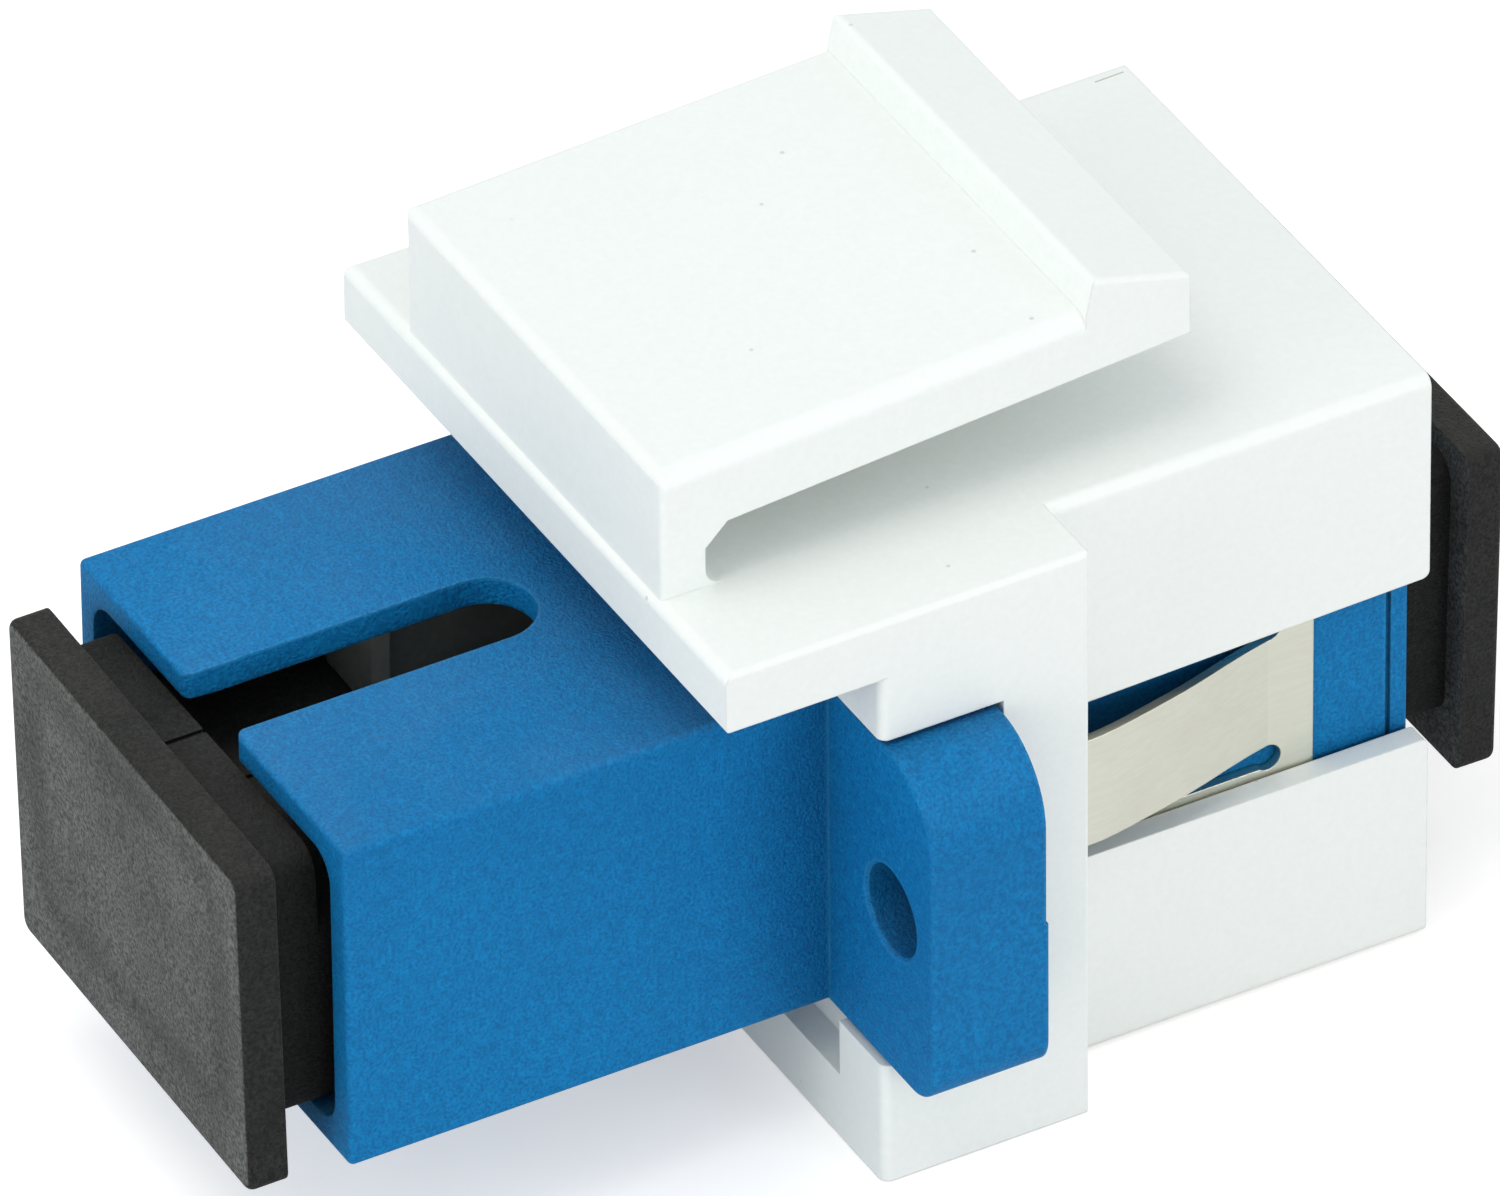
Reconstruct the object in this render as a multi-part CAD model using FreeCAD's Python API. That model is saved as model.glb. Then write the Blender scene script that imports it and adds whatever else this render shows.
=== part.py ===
"""SC simplex fibre adapter held in a keystone carrier, with a dust cap in each port.

Frame: the origin is the middle of the alignment sleeve, where two ferrules meet. +Y runs
along the fibre from the rear (cable) port to the front (user) port, +Z is up, towards the
keyways and the carrier's latch lever, and +X completes the frame. Millimetres.
"""
import FreeCAD, Part
import math
import os

from FreeCAD import Vector

# --- adapter housing -------------------------------------------------------------------
BODY_WIDTH = 13.1            # along X
BODY_HEIGHT = 9.3            # along Z
BODY_LENGTH = 28.55          # along Y, flange at the middle
BODY_EDGE_ROUND = 0.2        # long edges
BODY_END_ROUND = 0.15        # edges of the two end faces
SIDE_WALL = 1.0              # left and right walls of a port
TOP_WALL = 0.75              # top and bottom walls of a port
PORT_CORNER_ROUND = 0.5
MOUTH_DEPTH = 0.8            # flared lead-in at each port's mouth
MOUTH_FLARE_SIDE = 0.28
MOUTH_FLARE_TOP = 0.05
MOUTH_CORNER_ROUND = 0.8
LEDGE_THICKNESS = 1.2        # inner wall between the two ports
LEDGE_WINDOW_WIDTH = 8.4
LEDGE_WINDOW_HEIGHT = 6.2
KEYWAY_WIDTH = 2.45
KEYWAY_LENGTH = 8.55         # from the end face to the round end
KEYWAY_MOUTH_ROUND = 0.25
LIP_GROOVE_SETBACK = 0.5     # front end only, measured from the end face
LIP_GROOVE_WIDTH = 0.14
LIP_GROOVE_DEPTH = 0.12

FLANGE_WIDTH = 23.0          # tip to tip of the two ears
FLANGE_THICKNESS = 3.04
FLANGE_MIDDLE = 0.05         # its middle plane along Y
FLANGE_TOP_ROUND = 2.1
FLANGE_BOTTOM_ROUND = 1.0
FLANGE_HOLE_DIAMETER = 2.35
FLANGE_HOLE_INSET = 2.0      # hole's middle to the ear's tip
FLANGE_HOLE_CHAMFER = 0.08    # on the rear face
FLANGE_EDGE_ROUND = 0.1
FLANGE_PARTING_HEIGHT = -0.2  # the ears' lower halves stand further forward by the step
FLANGE_PARTING_STEP = 0.06

# --- retaining clip --------------------------------------------------------------------
CLIP_THICKNESS = 0.25
CLIP_SIDE_RECESS = 0.2       # depth of its seat in the housing's sides
CLIP_BOTTOM_RECESS = 0.25    # depth of its seat in the housing's bottom
CLIP_SEAT_GAP = 0.02
CLIP_FLANGE_GAP = 0.38       # from the flange's front face to the clip's rear edge
CLIP_LENGTH = 9.67           # along Y
CLIP_TOP = 3.75              # height of the side plates' upper edges
CLIP_BEND_RADIUS = 0.45      # inside radius of the two lower bends
CLIP_CORNER_ROUND = 0.5
LEAF_WIDTH = 3.1             # spring leaf, along Z
LEAF_SLIT = 0.65             # slit above and below the leaf
LEAF_SLIT_END_ROUND = 0.36   # radius of the wider round end of each slit
LEAF_ROOT_SETBACK = 1.24     # from the clip's front edge to the leaf's root
LEAF_RISE = 1.26             # how far the leaf stands out at its crest
LEAF_CREST_SETBACK = 0.75    # from the leaf's free end back to its crest
LEAF_TIP_TUCK = 0.07         # how far the free end turns back in
LEAF_CATCH_GAP = 0.06        # free end to the carrier's face that it catches on

# --- sleeve and latch inserts ----------------------------------------------------------
SLEEVE_BORE = 2.5
SLEEVE_WALL = 0.35
SLEEVE_LENGTH = 11.4
SLEEVE_SLIT = 0.5
SLEEVE_RADIAL_GAP = 0.06     # sleeve to its holder tube
SLEEVE_END_GAP = 0.1         # sleeve end to the holder's lip
HOLDER_WALL = 0.6
HOLDER_LIP = 0.5             # thickness of the lip that keeps the sleeve in
HOLDER_LIP_BORE = 2.9
HOLDER_LEAD_IN = 0.25
INSERT_FIT_GAP = 0.05        # base plate to the port walls
INSERT_BASE_THICKNESS = 1.3
INSERT_BASE_ROUND = 0.6
LATCH_REACH = 6.9            # base plate's face to the hook's end
LATCH_THICKNESS = 0.6
LATCH_HEIGHT = 4.2
LATCH_GAP = 0.3              # latch arm to the port's side wall
LATCH_ROOT_ROUND = 0.4
HOOK_DEPTH = 0.75
HOOK_LENGTH = 1.6
HOOK_FLAT = 0.5

# --- dust caps -------------------------------------------------------------------------
CAP_WIDTH = 11.8
CAP_HEIGHT = 9.3
CAP_THICKNESS = 1.0
CAP_CORNER_ROUND = 0.4
CAP_FACE_ROUND = 0.2
CAP_PLATE_DROP = 0.3         # plate's middle below the plug's
PLUG_SIDE_GAP = 0.45         # plug to the port's side walls
PLUG_TOP_GAP = 0.12          # plug to the port's top and bottom walls
PLUG_WALL = 0.9
PLUG_LATCH_GAP = 0.5         # rear cap's plug to the hooks it stops short of
PLUG_CORNER_ROUND = 0.7
PLUG_TIP_CHAMFER = 0.3
PLUG_SEAM_WIDTH = 0.16
PLUG_SEAM_DEPTH = 0.1
PLUG_SEAM_OFFSET = 0.3       # to one side of the plug's middle
REAR_CAP_STANDOFF = 1.28     # housing's end face to the cap's plate
FRONT_CAP_STANDOFF = 1.93
CAP_DROP = 0.1               # a loose plug rests on the port's floor
CAP_SAG = 1.0                # degrees that a loose cap tips down about the port's mouth
REAR_CAP_YAW = 1.0           # degrees that the rear cap is also turned about Z

# --- keystone carrier ------------------------------------------------------------------
CARRIER_HEIGHT = 16.5        # flat top and bottom
COLUMN_WIDTH = 18.5
COLUMN_DEPTH = 5.57
COLUMN_REAR_ROUND = 0.25     # upright edges of the column's rear face
COLUMN_FRONT_ROUND = 0.1     # and of its front face
COLUMN_TOP_ROUND = 0.15      # long top edges of the column and the shelf
FLANGE_RECESS = 0.08         # flange's rear face below the column's
POCKET_FLANGE_GAP = 0.15     # flange to the pocket's floor and front wall
PASSAGE_SIDE_GAP = 0.15      # housing to the passage's side walls
PASSAGE_TOP_GAP = 0.1        # housing to the passage's top and bottom walls
RELIEF_WIDTH = 14.3          # shallow step above and below the flange pocket
RELIEF_HEIGHT = 1.6
RELIEF_DEPTH = 0.8
BOX_WIDTH = 14.6             # what enters the panel's keystone opening
BOX_LENGTH = 10.36
BOX_EDGE_ROUND = 0.3
WINDOW_BOTTOM = 2.4          # open side window for the spring leaf, below the middle
WINDOW_TOP = 2.4             # its upper edge above the middle, at the front end
WINDOW_TOP_REAR = 2.17       # the same at the column
WINDOW_CORNER_ROUND = 0.2
CORE_WALL = 1.05             # walls left round the cored-out blocks
CORE_DEPTH = 7.5
CORE_RIB = 1.0
CORE_COUNT = 3
SHELF_OVERHANG = 4.1
SHELF_THICKNESS = 1.63
SHELF_TOP_ROUND = 0.3
SHELF_BOTTOM_ROUND = 0.1

LEVER_WIDTH = 12.3
LEVER_OFFSET = 0.2           # its middle towards -X
LEVER_SETBACK = 0.15         # its root to the shelf's rear edge
LEVER_LENGTH = 14.12
LEVER_ROOT_HEIGHT = 3.5      # top of the lever above the carrier's top, at its root
LEVER_TIP_HEIGHT = 4.15      # the same at its free end
LEVER_GAP_ROOT = 1.68        # slit below the lever, at its root
LEVER_GAP_TIP = 2.55
LEVER_ROOT_THICKNESS = 1.17  # its root, along Y
LEVER_REAR_ROUND = 0.3       # top edge above the root
LEVER_CORNER_ROUND = 0.15    # upright edges of the root
LEVER_NEAR_ROUND = 0.45      # long top edge on the +X side
LEVER_FAR_ROUND = 0.15       # and on the -X side
SLIT_END_ROUND = 0.45        # lower corner of the slit's closed end
SLIT_END_BEVEL = 0.59        # its upper corner
RIDGE_LENGTH = 2.8           # catch that snaps behind the panel's edge
RIDGE_FACE_RUN = 0.2
RIDGE_HEIGHT = 0.97
RIDGE_END_RISE = 0.1
RIDGE_EDGE_ROUND = 0.15

# --- derived places --------------------------------------------------------------------
BODY_END = BODY_LENGTH / 2
FLANGE_FRONT = FLANGE_MIDDLE + FLANGE_THICKNESS / 2
FLANGE_REAR = FLANGE_MIDDLE - FLANGE_THICKNESS / 2
PORT_WIDTH = BODY_WIDTH - 2 * SIDE_WALL
PORT_HEIGHT = BODY_HEIGHT - 2 * TOP_WALL
LEDGE_FACE = LEDGE_THICKNESS / 2
CLIP_REAR = FLANGE_FRONT + CLIP_FLANGE_GAP
CLIP_FRONT = CLIP_REAR + CLIP_LENGTH
CLIP_INNER_X = BODY_WIDTH / 2 - CLIP_SIDE_RECESS + CLIP_SEAT_GAP
CLIP_INNER_Z = -BODY_HEIGHT / 2 + CLIP_BOTTOM_RECESS - CLIP_SEAT_GAP
LEAF_ROOT = CLIP_FRONT - LEAF_ROOT_SETBACK
HOLDER_BORE = SLEEVE_BORE + 2 * SLEEVE_WALL + 2 * SLEEVE_RADIAL_GAP
HOLDER_DIAMETER = HOLDER_BORE + 2 * HOLDER_WALL
HOLDER_END = SLEEVE_LENGTH / 2 + SLEEVE_END_GAP + HOLDER_LIP
LATCH_END = LEDGE_FACE + INSERT_BASE_THICKNESS + LATCH_REACH
PLUG_LENGTH = BODY_END + REAR_CAP_STANDOFF - LATCH_END - PLUG_LATCH_GAP
CARRIER_TOP = CARRIER_HEIGHT / 2
COLUMN_REAR = FLANGE_REAR - FLANGE_RECESS
COLUMN_FRONT = COLUMN_REAR + COLUMN_DEPTH
BOX_FRONT = COLUMN_FRONT + BOX_LENGTH
PASSAGE_WIDTH = BODY_WIDTH + 2 * PASSAGE_SIDE_GAP
PASSAGE_HEIGHT = BODY_HEIGHT + 2 * PASSAGE_TOP_GAP
POCKET_HEIGHT = BODY_HEIGHT + 2 * POCKET_FLANGE_GAP
SHELF_REAR = COLUMN_REAR - SHELF_OVERHANG
LEVER_REAR = SHELF_REAR + LEVER_SETBACK
LEVER_TIP = LEVER_REAR + LEVER_LENGTH
LEVER_NEAR_X = LEVER_WIDTH / 2 - LEVER_OFFSET
LEVER_FAR_X = -LEVER_WIDTH / 2 - LEVER_OFFSET
LEVER_RISE = (LEVER_TIP_HEIGHT - LEVER_ROOT_HEIGHT) / LEVER_LENGTH
SLIT_END = LEVER_REAR + LEVER_ROOT_THICKNESS
RIDGE_FOOT = LEVER_TIP - RIDGE_LENGTH
RIDGE_FOOT_HEIGHT = LEVER_ROOT_HEIGHT + LEVER_RISE * (RIDGE_FOOT - LEVER_REAR)
BIG = 60.0                   # longer than any feature, for cuts that go right through


def box(x0, x1, y0, y1, z0, z1):
    """A block between two corners, given low and high along each axis."""
    return Part.makeBox(x1 - x0, y1 - y0, z1 - z0, Vector(x0, y0, z0))


def centred(width, y0, y1, height, drop=0.0):
    """A block that is centred on the fibre's axis across X and Z."""
    return box(-width / 2, width / 2, y0, y1, -height / 2 - drop, height / 2 - drop)


def edges_along(shape, axis, test):
    """Straight edges that run along one axis and whose middle point passes the test."""
    picked = []
    for edge in shape.Edges:
        if len(edge.Vertexes) != 2:
            continue
        run = edge.Vertexes[1].Point.sub(edge.Vertexes[0].Point)
        if run.Length < 1e-6 or abs(abs(run.dot(axis)) - run.Length) > 1e-6:
            continue
        if test(edge.CenterOfMass):
            picked.append(edge)
    return picked


def all_points(point):
    return True


X_AXIS = Vector(1, 0, 0)
Y_AXIS = Vector(0, 1, 0)
Z_AXIS = Vector(0, 0, 1)


def round_along(shape, radius, axis, test=all_points):
    """Rounds the straight edges along an axis that pass the test."""
    return shape.makeFillet(radius, edges_along(shape, axis, test))


def near(value, target):
    return abs(value - target) < 1e-4


def tube_y(outer, inner, y0, y1):
    """A tube along Y round the fibre's axis."""
    start = Vector(0, y0, 0)
    whole = Part.makeCylinder(outer / 2, y1 - y0, start, Y_AXIS)
    return whole.cut(Part.makeCylinder(inner / 2, y1 - y0, start, Y_AXIS))


def rounded_rectangle_y(width, height, radius, y):
    """The outline of a rectangle across Y with rounded corners, centred on the axis."""
    block = round_along(centred(width, y, y + 1, height), radius, Y_AXIS)
    end = [face for face in block.Faces if near(face.CenterOfMass.y, y)]
    return end[0].OuterWire


def prism_x(points, x0, x1):
    """A solid between two places along X with a straight-sided outline in (y, z) points."""
    corners = [Vector(x0, y, z) for y, z in points]
    face = Part.Face(Part.makePolygon(corners + corners[:1]))
    return face.extrude(Vector(x1 - x0, 0, 0))


def turned(shape):
    """The same shape turned half round the Z axis, from one port to the other."""
    copy = shape.copy()
    copy.rotate(Vector(0, 0, 0), Z_AXIS, 180)
    return copy


# --- adapter housing -------------------------------------------------------------------
def flange_hole(side):
    """One hole through an ear, with a small chamfer on the rear face."""
    radius = FLANGE_HOLE_DIAMETER / 2
    x = side * (FLANGE_WIDTH / 2 - FLANGE_HOLE_INSET)
    hole = Part.makeCylinder(radius, BIG, Vector(x, -BIG / 2, 0), Y_AXIS)
    rim = Part.makeCone(radius + 2 * FLANGE_HOLE_CHAMFER, radius, 2 * FLANGE_HOLE_CHAMFER,
                        Vector(x, FLANGE_REAR - FLANGE_HOLE_CHAMFER, 0), Y_AXIS)
    return hole.fuse(rim)


def flange():
    """The two ears, one plate across the housing, with a larger round on top."""
    half_w, half_h = FLANGE_WIDTH / 2, BODY_HEIGHT / 2
    plate = centred(FLANGE_WIDTH, FLANGE_REAR, FLANGE_FRONT + FLANGE_PARTING_STEP, BODY_HEIGHT)
    plate = round_along(plate, FLANGE_TOP_ROUND, Y_AXIS, lambda p: p.z > 0)
    plate = round_along(plate, FLANGE_BOTTOM_ROUND, Y_AXIS,
                        lambda p: near(p.z, -half_h) and near(abs(p.x), half_w))
    rim = [e for e in plate.Edges if near(e.CenterOfMass.y, FLANGE_REAR)]
    plate = plate.makeFillet(FLANGE_EDGE_ROUND, rim)
    plate = plate.cut(box(-BIG, BIG, FLANGE_FRONT, BIG, FLANGE_PARTING_HEIGHT, BIG))
    return plate.cut(flange_hole(-1)).cut(flange_hole(1))


def keyway():
    """Slot through the front port's top wall: round at its end, with a rounded mouth."""
    half, turn = KEYWAY_WIDTH / 2, KEYWAY_MOUTH_ROUND
    slot_end = BODY_END - KEYWAY_LENGTH + half
    slot = box(-half, half, slot_end, BODY_END + 1, 0, BODY_HEIGHT)
    slot = slot.fuse(Part.makeCylinder(half, BODY_HEIGHT, Vector(0, slot_end, 0)))
    mouth = box(-half - turn, half + turn, BODY_END - turn, BODY_END + 1, 0, BODY_HEIGHT)
    for side in (-1, 1):
        corner = Vector(side * (half + turn), BODY_END - turn, 0)
        mouth = mouth.cut(Part.makeCylinder(turn, BODY_HEIGHT, corner))
    return slot.fuse(mouth)


def port():
    """The hollow of the front port, with its flared mouth and its keyway."""
    hollow = centred(PORT_WIDTH, LEDGE_FACE, BODY_END + 1, PORT_HEIGHT)
    hollow = round_along(hollow, PORT_CORNER_ROUND, Y_AXIS)
    mouth = Part.makeLoft([
        rounded_rectangle_y(PORT_WIDTH, PORT_HEIGHT, PORT_CORNER_ROUND,
                            BODY_END - MOUTH_DEPTH),
        rounded_rectangle_y(PORT_WIDTH + 2 * MOUTH_FLARE_SIDE,
                            PORT_HEIGHT + 2 * MOUTH_FLARE_TOP, MOUTH_CORNER_ROUND, BODY_END),
    ], True, True)
    return hollow.fuse(mouth).fuse(keyway())


def clip_seat():
    """The shallow band round both sides and the bottom that the clip sits in."""
    y0, y1 = FLANGE_FRONT, CLIP_FRONT + CLIP_SEAT_GAP
    inner_x = BODY_WIDTH / 2 - CLIP_SIDE_RECESS
    inner_z = -BODY_HEIGHT / 2 + CLIP_BOTTOM_RECESS
    band = centred(2 * BODY_WIDTH, y0, y1, BODY_HEIGHT + 2)
    keep = box(-inner_x, inner_x, y0 - 1, y1 + 1, inner_z, BODY_HEIGHT)
    keep = round_along(keep, CLIP_BEND_RADIUS, Y_AXIS, lambda p: near(p.z, inner_z))
    above = box(-BODY_WIDTH, BODY_WIDTH, y0 - 1, y1 + 1,
                CLIP_TOP + 2 * CLIP_SEAT_GAP, BODY_HEIGHT)
    return band.cut(keep).cut(above)


def lip_groove():
    """A fine groove round the outside, just behind the front end face."""
    y1 = BODY_END - LIP_GROOVE_SETBACK
    y0 = y1 - LIP_GROOVE_WIDTH
    ring = centred(BODY_WIDTH + 2, y0, y1, BODY_HEIGHT + 2)
    core = centred(BODY_WIDTH - 2 * LIP_GROOVE_DEPTH, y0 - 1, y1 + 1,
                   BODY_HEIGHT - 2 * LIP_GROOVE_DEPTH)
    return ring.cut(round_along(core, BODY_EDGE_ROUND, Y_AXIS))


def housing():
    body = centred(BODY_WIDTH, -BODY_END, BODY_END, BODY_HEIGHT)
    body = round_along(body, BODY_EDGE_ROUND, Y_AXIS)
    ends = [e for e in body.Edges if near(abs(e.CenterOfMass.y), BODY_END)]
    body = body.makeFillet(BODY_END_ROUND, ends)
    body = body.cut(port()).cut(turned(port()))
    body = body.cut(centred(LEDGE_WINDOW_WIDTH, -BIG / 2, BIG / 2, LEDGE_WINDOW_HEIGHT))
    body = body.cut(clip_seat()).cut(lip_groove())
    ears = flange().cut(centred(BODY_WIDTH - SIDE_WALL, -BIG / 2, BIG / 2,
                                BODY_HEIGHT - TOP_WALL))
    return body.fuse(ears).removeSplitter()


# --- retaining clip --------------------------------------------------------------------
def clip_strap():
    """The bent strap: two side plates joined by a band across the bottom."""
    outer_x = CLIP_INNER_X + CLIP_THICKNESS
    outer_z = CLIP_INNER_Z - CLIP_THICKNESS
    outside = box(-outer_x, outer_x, CLIP_REAR, CLIP_FRONT, outer_z, CLIP_TOP)
    inside = box(-CLIP_INNER_X, CLIP_INNER_X, CLIP_REAR - 1, CLIP_FRONT + 1,
                 CLIP_INNER_Z, CLIP_TOP + 1)
    outside = round_along(outside, CLIP_BEND_RADIUS + CLIP_THICKNESS, Y_AXIS,
                          lambda p: near(p.z, outer_z))
    inside = round_along(inside, CLIP_BEND_RADIUS, Y_AXIS, lambda p: near(p.z, CLIP_INNER_Z))
    strap = outside.cut(inside)
    return round_along(strap, CLIP_CORNER_ROUND, X_AXIS, lambda p: near(p.z, CLIP_TOP))


def leaf_window():
    """The cut that frees a leaf: it is open round the leaf's tip, with round slit ends."""
    half = LEAF_WIDTH / 2 + LEAF_SLIT
    slit_round = LEAF_SLIT / 2
    window = box(0, BIG, CLIP_REAR + LEAF_SLIT, LEAF_ROOT, -half, half)
    window = round_along(window, slit_round, X_AXIS, lambda p: p.y < CLIP_FRONT / 2)
    tongue = box(0, BIG, COLUMN_FRONT + LEAF_CATCH_GAP, LEAF_ROOT,
                 -LEAF_WIDTH / 2, LEAF_WIDTH / 2)
    window = window.cut(tongue)
    for side in (-1, 1):
        end = Vector(0, LEAF_ROOT, side * (LEAF_WIDTH / 2 + LEAF_SLIT_END_ROUND))
        window = window.fuse(Part.makeCylinder(LEAF_SLIT_END_ROUND, BIG, end, X_AXIS))
    return window


def spring_leaf():
    """The leaf on the +X side: it bows out from its root and turns in at its tip."""
    tip = COLUMN_FRONT + LEAF_CATCH_GAP
    crest = tip + LEAF_CREST_SETBACK
    span = LEAF_ROOT - crest
    stations = [(1.0, 0.0), (0.8, 0.22), (0.57, 0.52), (0.27, 0.82), (0.0, 1.0)]
    inner = [Vector(CLIP_INNER_X + rise * LEAF_RISE, crest + along * span, 0)
             for along, rise in stations]
    inner.append(Vector(CLIP_INNER_X + LEAF_RISE - LEAF_TIP_TUCK, tip, 0))
    near_side = Part.BSplineCurve()
    near_side.interpolate(inner)
    far_side = Part.BSplineCurve()
    far_side.interpolate([p.add(Vector(CLIP_THICKNESS, 0, 0)) for p in inner])
    outline = Part.Wire([
        near_side.toShape(),
        Part.makeLine(inner[-1], inner[-1].add(Vector(CLIP_THICKNESS, 0, 0))),
        far_side.toShape(),
        Part.makeLine(inner[0].add(Vector(CLIP_THICKNESS, 0, 0)), inner[0]),
    ])
    leaf = Part.Face(outline).extrude(Vector(0, 0, LEAF_WIDTH))
    leaf.translate(Vector(0, 0, -LEAF_WIDTH / 2))
    return leaf


def flat_tongue():
    """The part of the side plate that the bowed leaf takes the place of."""
    return box(0, BIG, CLIP_REAR + LEAF_SLIT, LEAF_ROOT, -LEAF_WIDTH / 2, LEAF_WIDTH / 2)


def clip():
    strap = clip_strap()
    opening = leaf_window().fuse(flat_tongue())
    leaf = spring_leaf()
    mirrored_leaf = leaf.mirror(Vector(0, 0, 0), X_AXIS)
    mirrored_opening = opening.mirror(Vector(0, 0, 0), X_AXIS)
    strap = strap.cut(opening).cut(mirrored_opening)
    return strap.fuse(leaf).fuse(mirrored_leaf).removeSplitter()


# --- sleeve and latch inserts ----------------------------------------------------------
def sleeve():
    """The split sleeve that lines up two ferrules."""
    outer = SLEEVE_BORE + 2 * SLEEVE_WALL
    ring = tube_y(outer, SLEEVE_BORE, -SLEEVE_LENGTH / 2, SLEEVE_LENGTH / 2)
    slit = box(-SLEEVE_SLIT / 2, SLEEVE_SLIT / 2, -SLEEVE_LENGTH, SLEEVE_LENGTH, 0, outer)
    return ring.cut(slit)


def latch_arm():
    """One arm on the +X side, with a hook that leans in over the port."""
    outer_x = PORT_WIDTH / 2 - LATCH_GAP
    inner_x = outer_x - LATCH_THICKNESS
    root = LEDGE_FACE + INSERT_BASE_THICKNESS / 2
    end = LATCH_END
    hook_start = end - HOOK_LENGTH
    outline = [(outer_x, root), (inner_x, root), (inner_x, hook_start),
               (inner_x - HOOK_DEPTH, hook_start + HOOK_DEPTH / 3),
               (inner_x - HOOK_DEPTH, hook_start + HOOK_DEPTH / 3 + HOOK_FLAT),
               (inner_x, end), (outer_x, end)]
    corners = [Vector(x, y, -LATCH_HEIGHT / 2) for x, y in outline]
    arm = Part.Face(Part.makePolygon(corners + corners[:1])).extrude(Vector(0, 0, LATCH_HEIGHT))
    return round_along(arm, LATCH_THICKNESS / 4, Z_AXIS, lambda p: near(p.y, end))


def latch_insert():
    """Front insert: base plate, half of the sleeve holder and two latch arms."""
    y0, y1 = LEDGE_FACE, LEDGE_FACE + INSERT_BASE_THICKNESS
    base = centred(PORT_WIDTH - 2 * INSERT_FIT_GAP, y0, y1, PORT_HEIGHT - 2 * INSERT_FIT_GAP)
    base = round_along(base, INSERT_BASE_ROUND, Y_AXIS)
    holder = Part.makeCylinder(HOLDER_DIAMETER / 2, HOLDER_END, Vector(0, 0, 0), Y_AXIS)
    arm = latch_arm()
    insert = base.fuse(holder).fuse(arm).fuse(arm.mirror(Vector(0, 0, 0), X_AXIS))
    insert = round_along(insert, LATCH_ROOT_ROUND, Z_AXIS,
                         lambda p: near(p.y, y1) and abs(p.z) < 1e-3
                         and near(abs(p.x), PORT_WIDTH / 2 - LATCH_GAP - LATCH_THICKNESS))
    bore = Part.makeCylinder(HOLDER_BORE / 2, HOLDER_END - HOLDER_LIP, Vector(0, 0, 0), Y_AXIS)
    lip = Part.makeCylinder(HOLDER_LIP_BORE / 2, HOLDER_END + 1, Vector(0, 0, 0), Y_AXIS)
    lead_in = Part.makeCone(HOLDER_LIP_BORE / 2, HOLDER_LIP_BORE / 2 + HOLDER_LEAD_IN,
                            HOLDER_LEAD_IN, Vector(0, HOLDER_END - HOLDER_LEAD_IN, 0), Y_AXIS)
    return insert.cut(bore).cut(lip).cut(lead_in).removeSplitter()


# --- dust caps -------------------------------------------------------------------------
def dust_cap(standoff):
    """A cap for the front port: rounded plate, hollow plug and the mould's seam line."""
    y0 = BODY_END + standoff
    y1 = y0 + CAP_THICKNESS
    plate = centred(CAP_WIDTH, y0, y1, CAP_HEIGHT, CAP_PLATE_DROP)
    plate = round_along(plate, CAP_CORNER_ROUND, Y_AXIS)
    rim = [e for e in plate.Edges if near(e.CenterOfMass.y, y1)]
    plate = plate.makeFillet(CAP_FACE_ROUND, rim)
    width = PORT_WIDTH - 2 * PLUG_SIDE_GAP
    height = PORT_HEIGHT - 2 * PLUG_TOP_GAP
    tip = y0 - PLUG_LENGTH
    plug = round_along(centred(width, tip, y0, height), PLUG_CORNER_ROUND, Y_AXIS)
    leading = [e for e in plug.Edges if near(e.CenterOfMass.y, tip)]
    plug = plug.makeChamfer(PLUG_TIP_CHAMFER, leading)
    hollow = centred(width - 2 * PLUG_WALL, tip - 1, y0, height - 2 * PLUG_WALL)
    hollow = round_along(hollow, PLUG_CORNER_ROUND / 2, Y_AXIS)
    seam = box(PLUG_SEAM_OFFSET - PLUG_SEAM_WIDTH / 2, PLUG_SEAM_OFFSET + PLUG_SEAM_WIDTH / 2,
               tip - 1, y0, height / 2 - PLUG_SEAM_DEPTH, height)
    cap = plug.cut(hollow).cut(seam).fuse(plate).removeSplitter()
    cap.translate(Vector(0, 0, -CAP_DROP))
    cap.rotate(Vector(0, BODY_END, 0), X_AXIS, -CAP_SAG)
    return cap


def rear_cap():
    """The same cap in the rear port, where it sits slightly askew."""
    cap = turned(dust_cap(REAR_CAP_STANDOFF))
    cap.rotate(Vector(0, -BODY_END, 0), Z_AXIS, -REAR_CAP_YAW)
    return cap


# --- keystone carrier ------------------------------------------------------------------
def column_and_shelf():
    """Upright column with the shelf that overhangs towards the rear."""
    half = COLUMN_WIDTH / 2
    underside = CARRIER_TOP - SHELF_THICKNESS
    outline = [(SHELF_REAR, underside), (COLUMN_REAR, underside), (COLUMN_REAR, -CARRIER_TOP),
               (COLUMN_FRONT, -CARRIER_TOP), (COLUMN_FRONT, CARRIER_TOP),
               (SHELF_REAR, CARRIER_TOP)]
    solid = prism_x(outline, -half, half)
    solid = round_along(solid, SHELF_TOP_ROUND, X_AXIS,
                        lambda p: near(p.y, SHELF_REAR) and near(p.z, CARRIER_TOP))
    solid = round_along(solid, SHELF_BOTTOM_ROUND, X_AXIS,
                        lambda p: near(p.y, SHELF_REAR) and near(p.z, underside))
    front_view = round_along(centred(COLUMN_WIDTH, -BIG / 2, BIG / 2, CARRIER_HEIGHT),
                             COLUMN_TOP_ROUND, Y_AXIS, lambda p: p.z > 0)
    plan_view = round_along(centred(COLUMN_WIDTH, -BIG / 2, COLUMN_FRONT, BIG),
                            COLUMN_FRONT_ROUND, Z_AXIS, lambda p: near(p.y, COLUMN_FRONT))
    solid = solid.common(front_view).common(plan_view)
    return round_along(solid, COLUMN_REAR_ROUND, Z_AXIS, lambda p: near(p.y, COLUMN_REAR))


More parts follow.
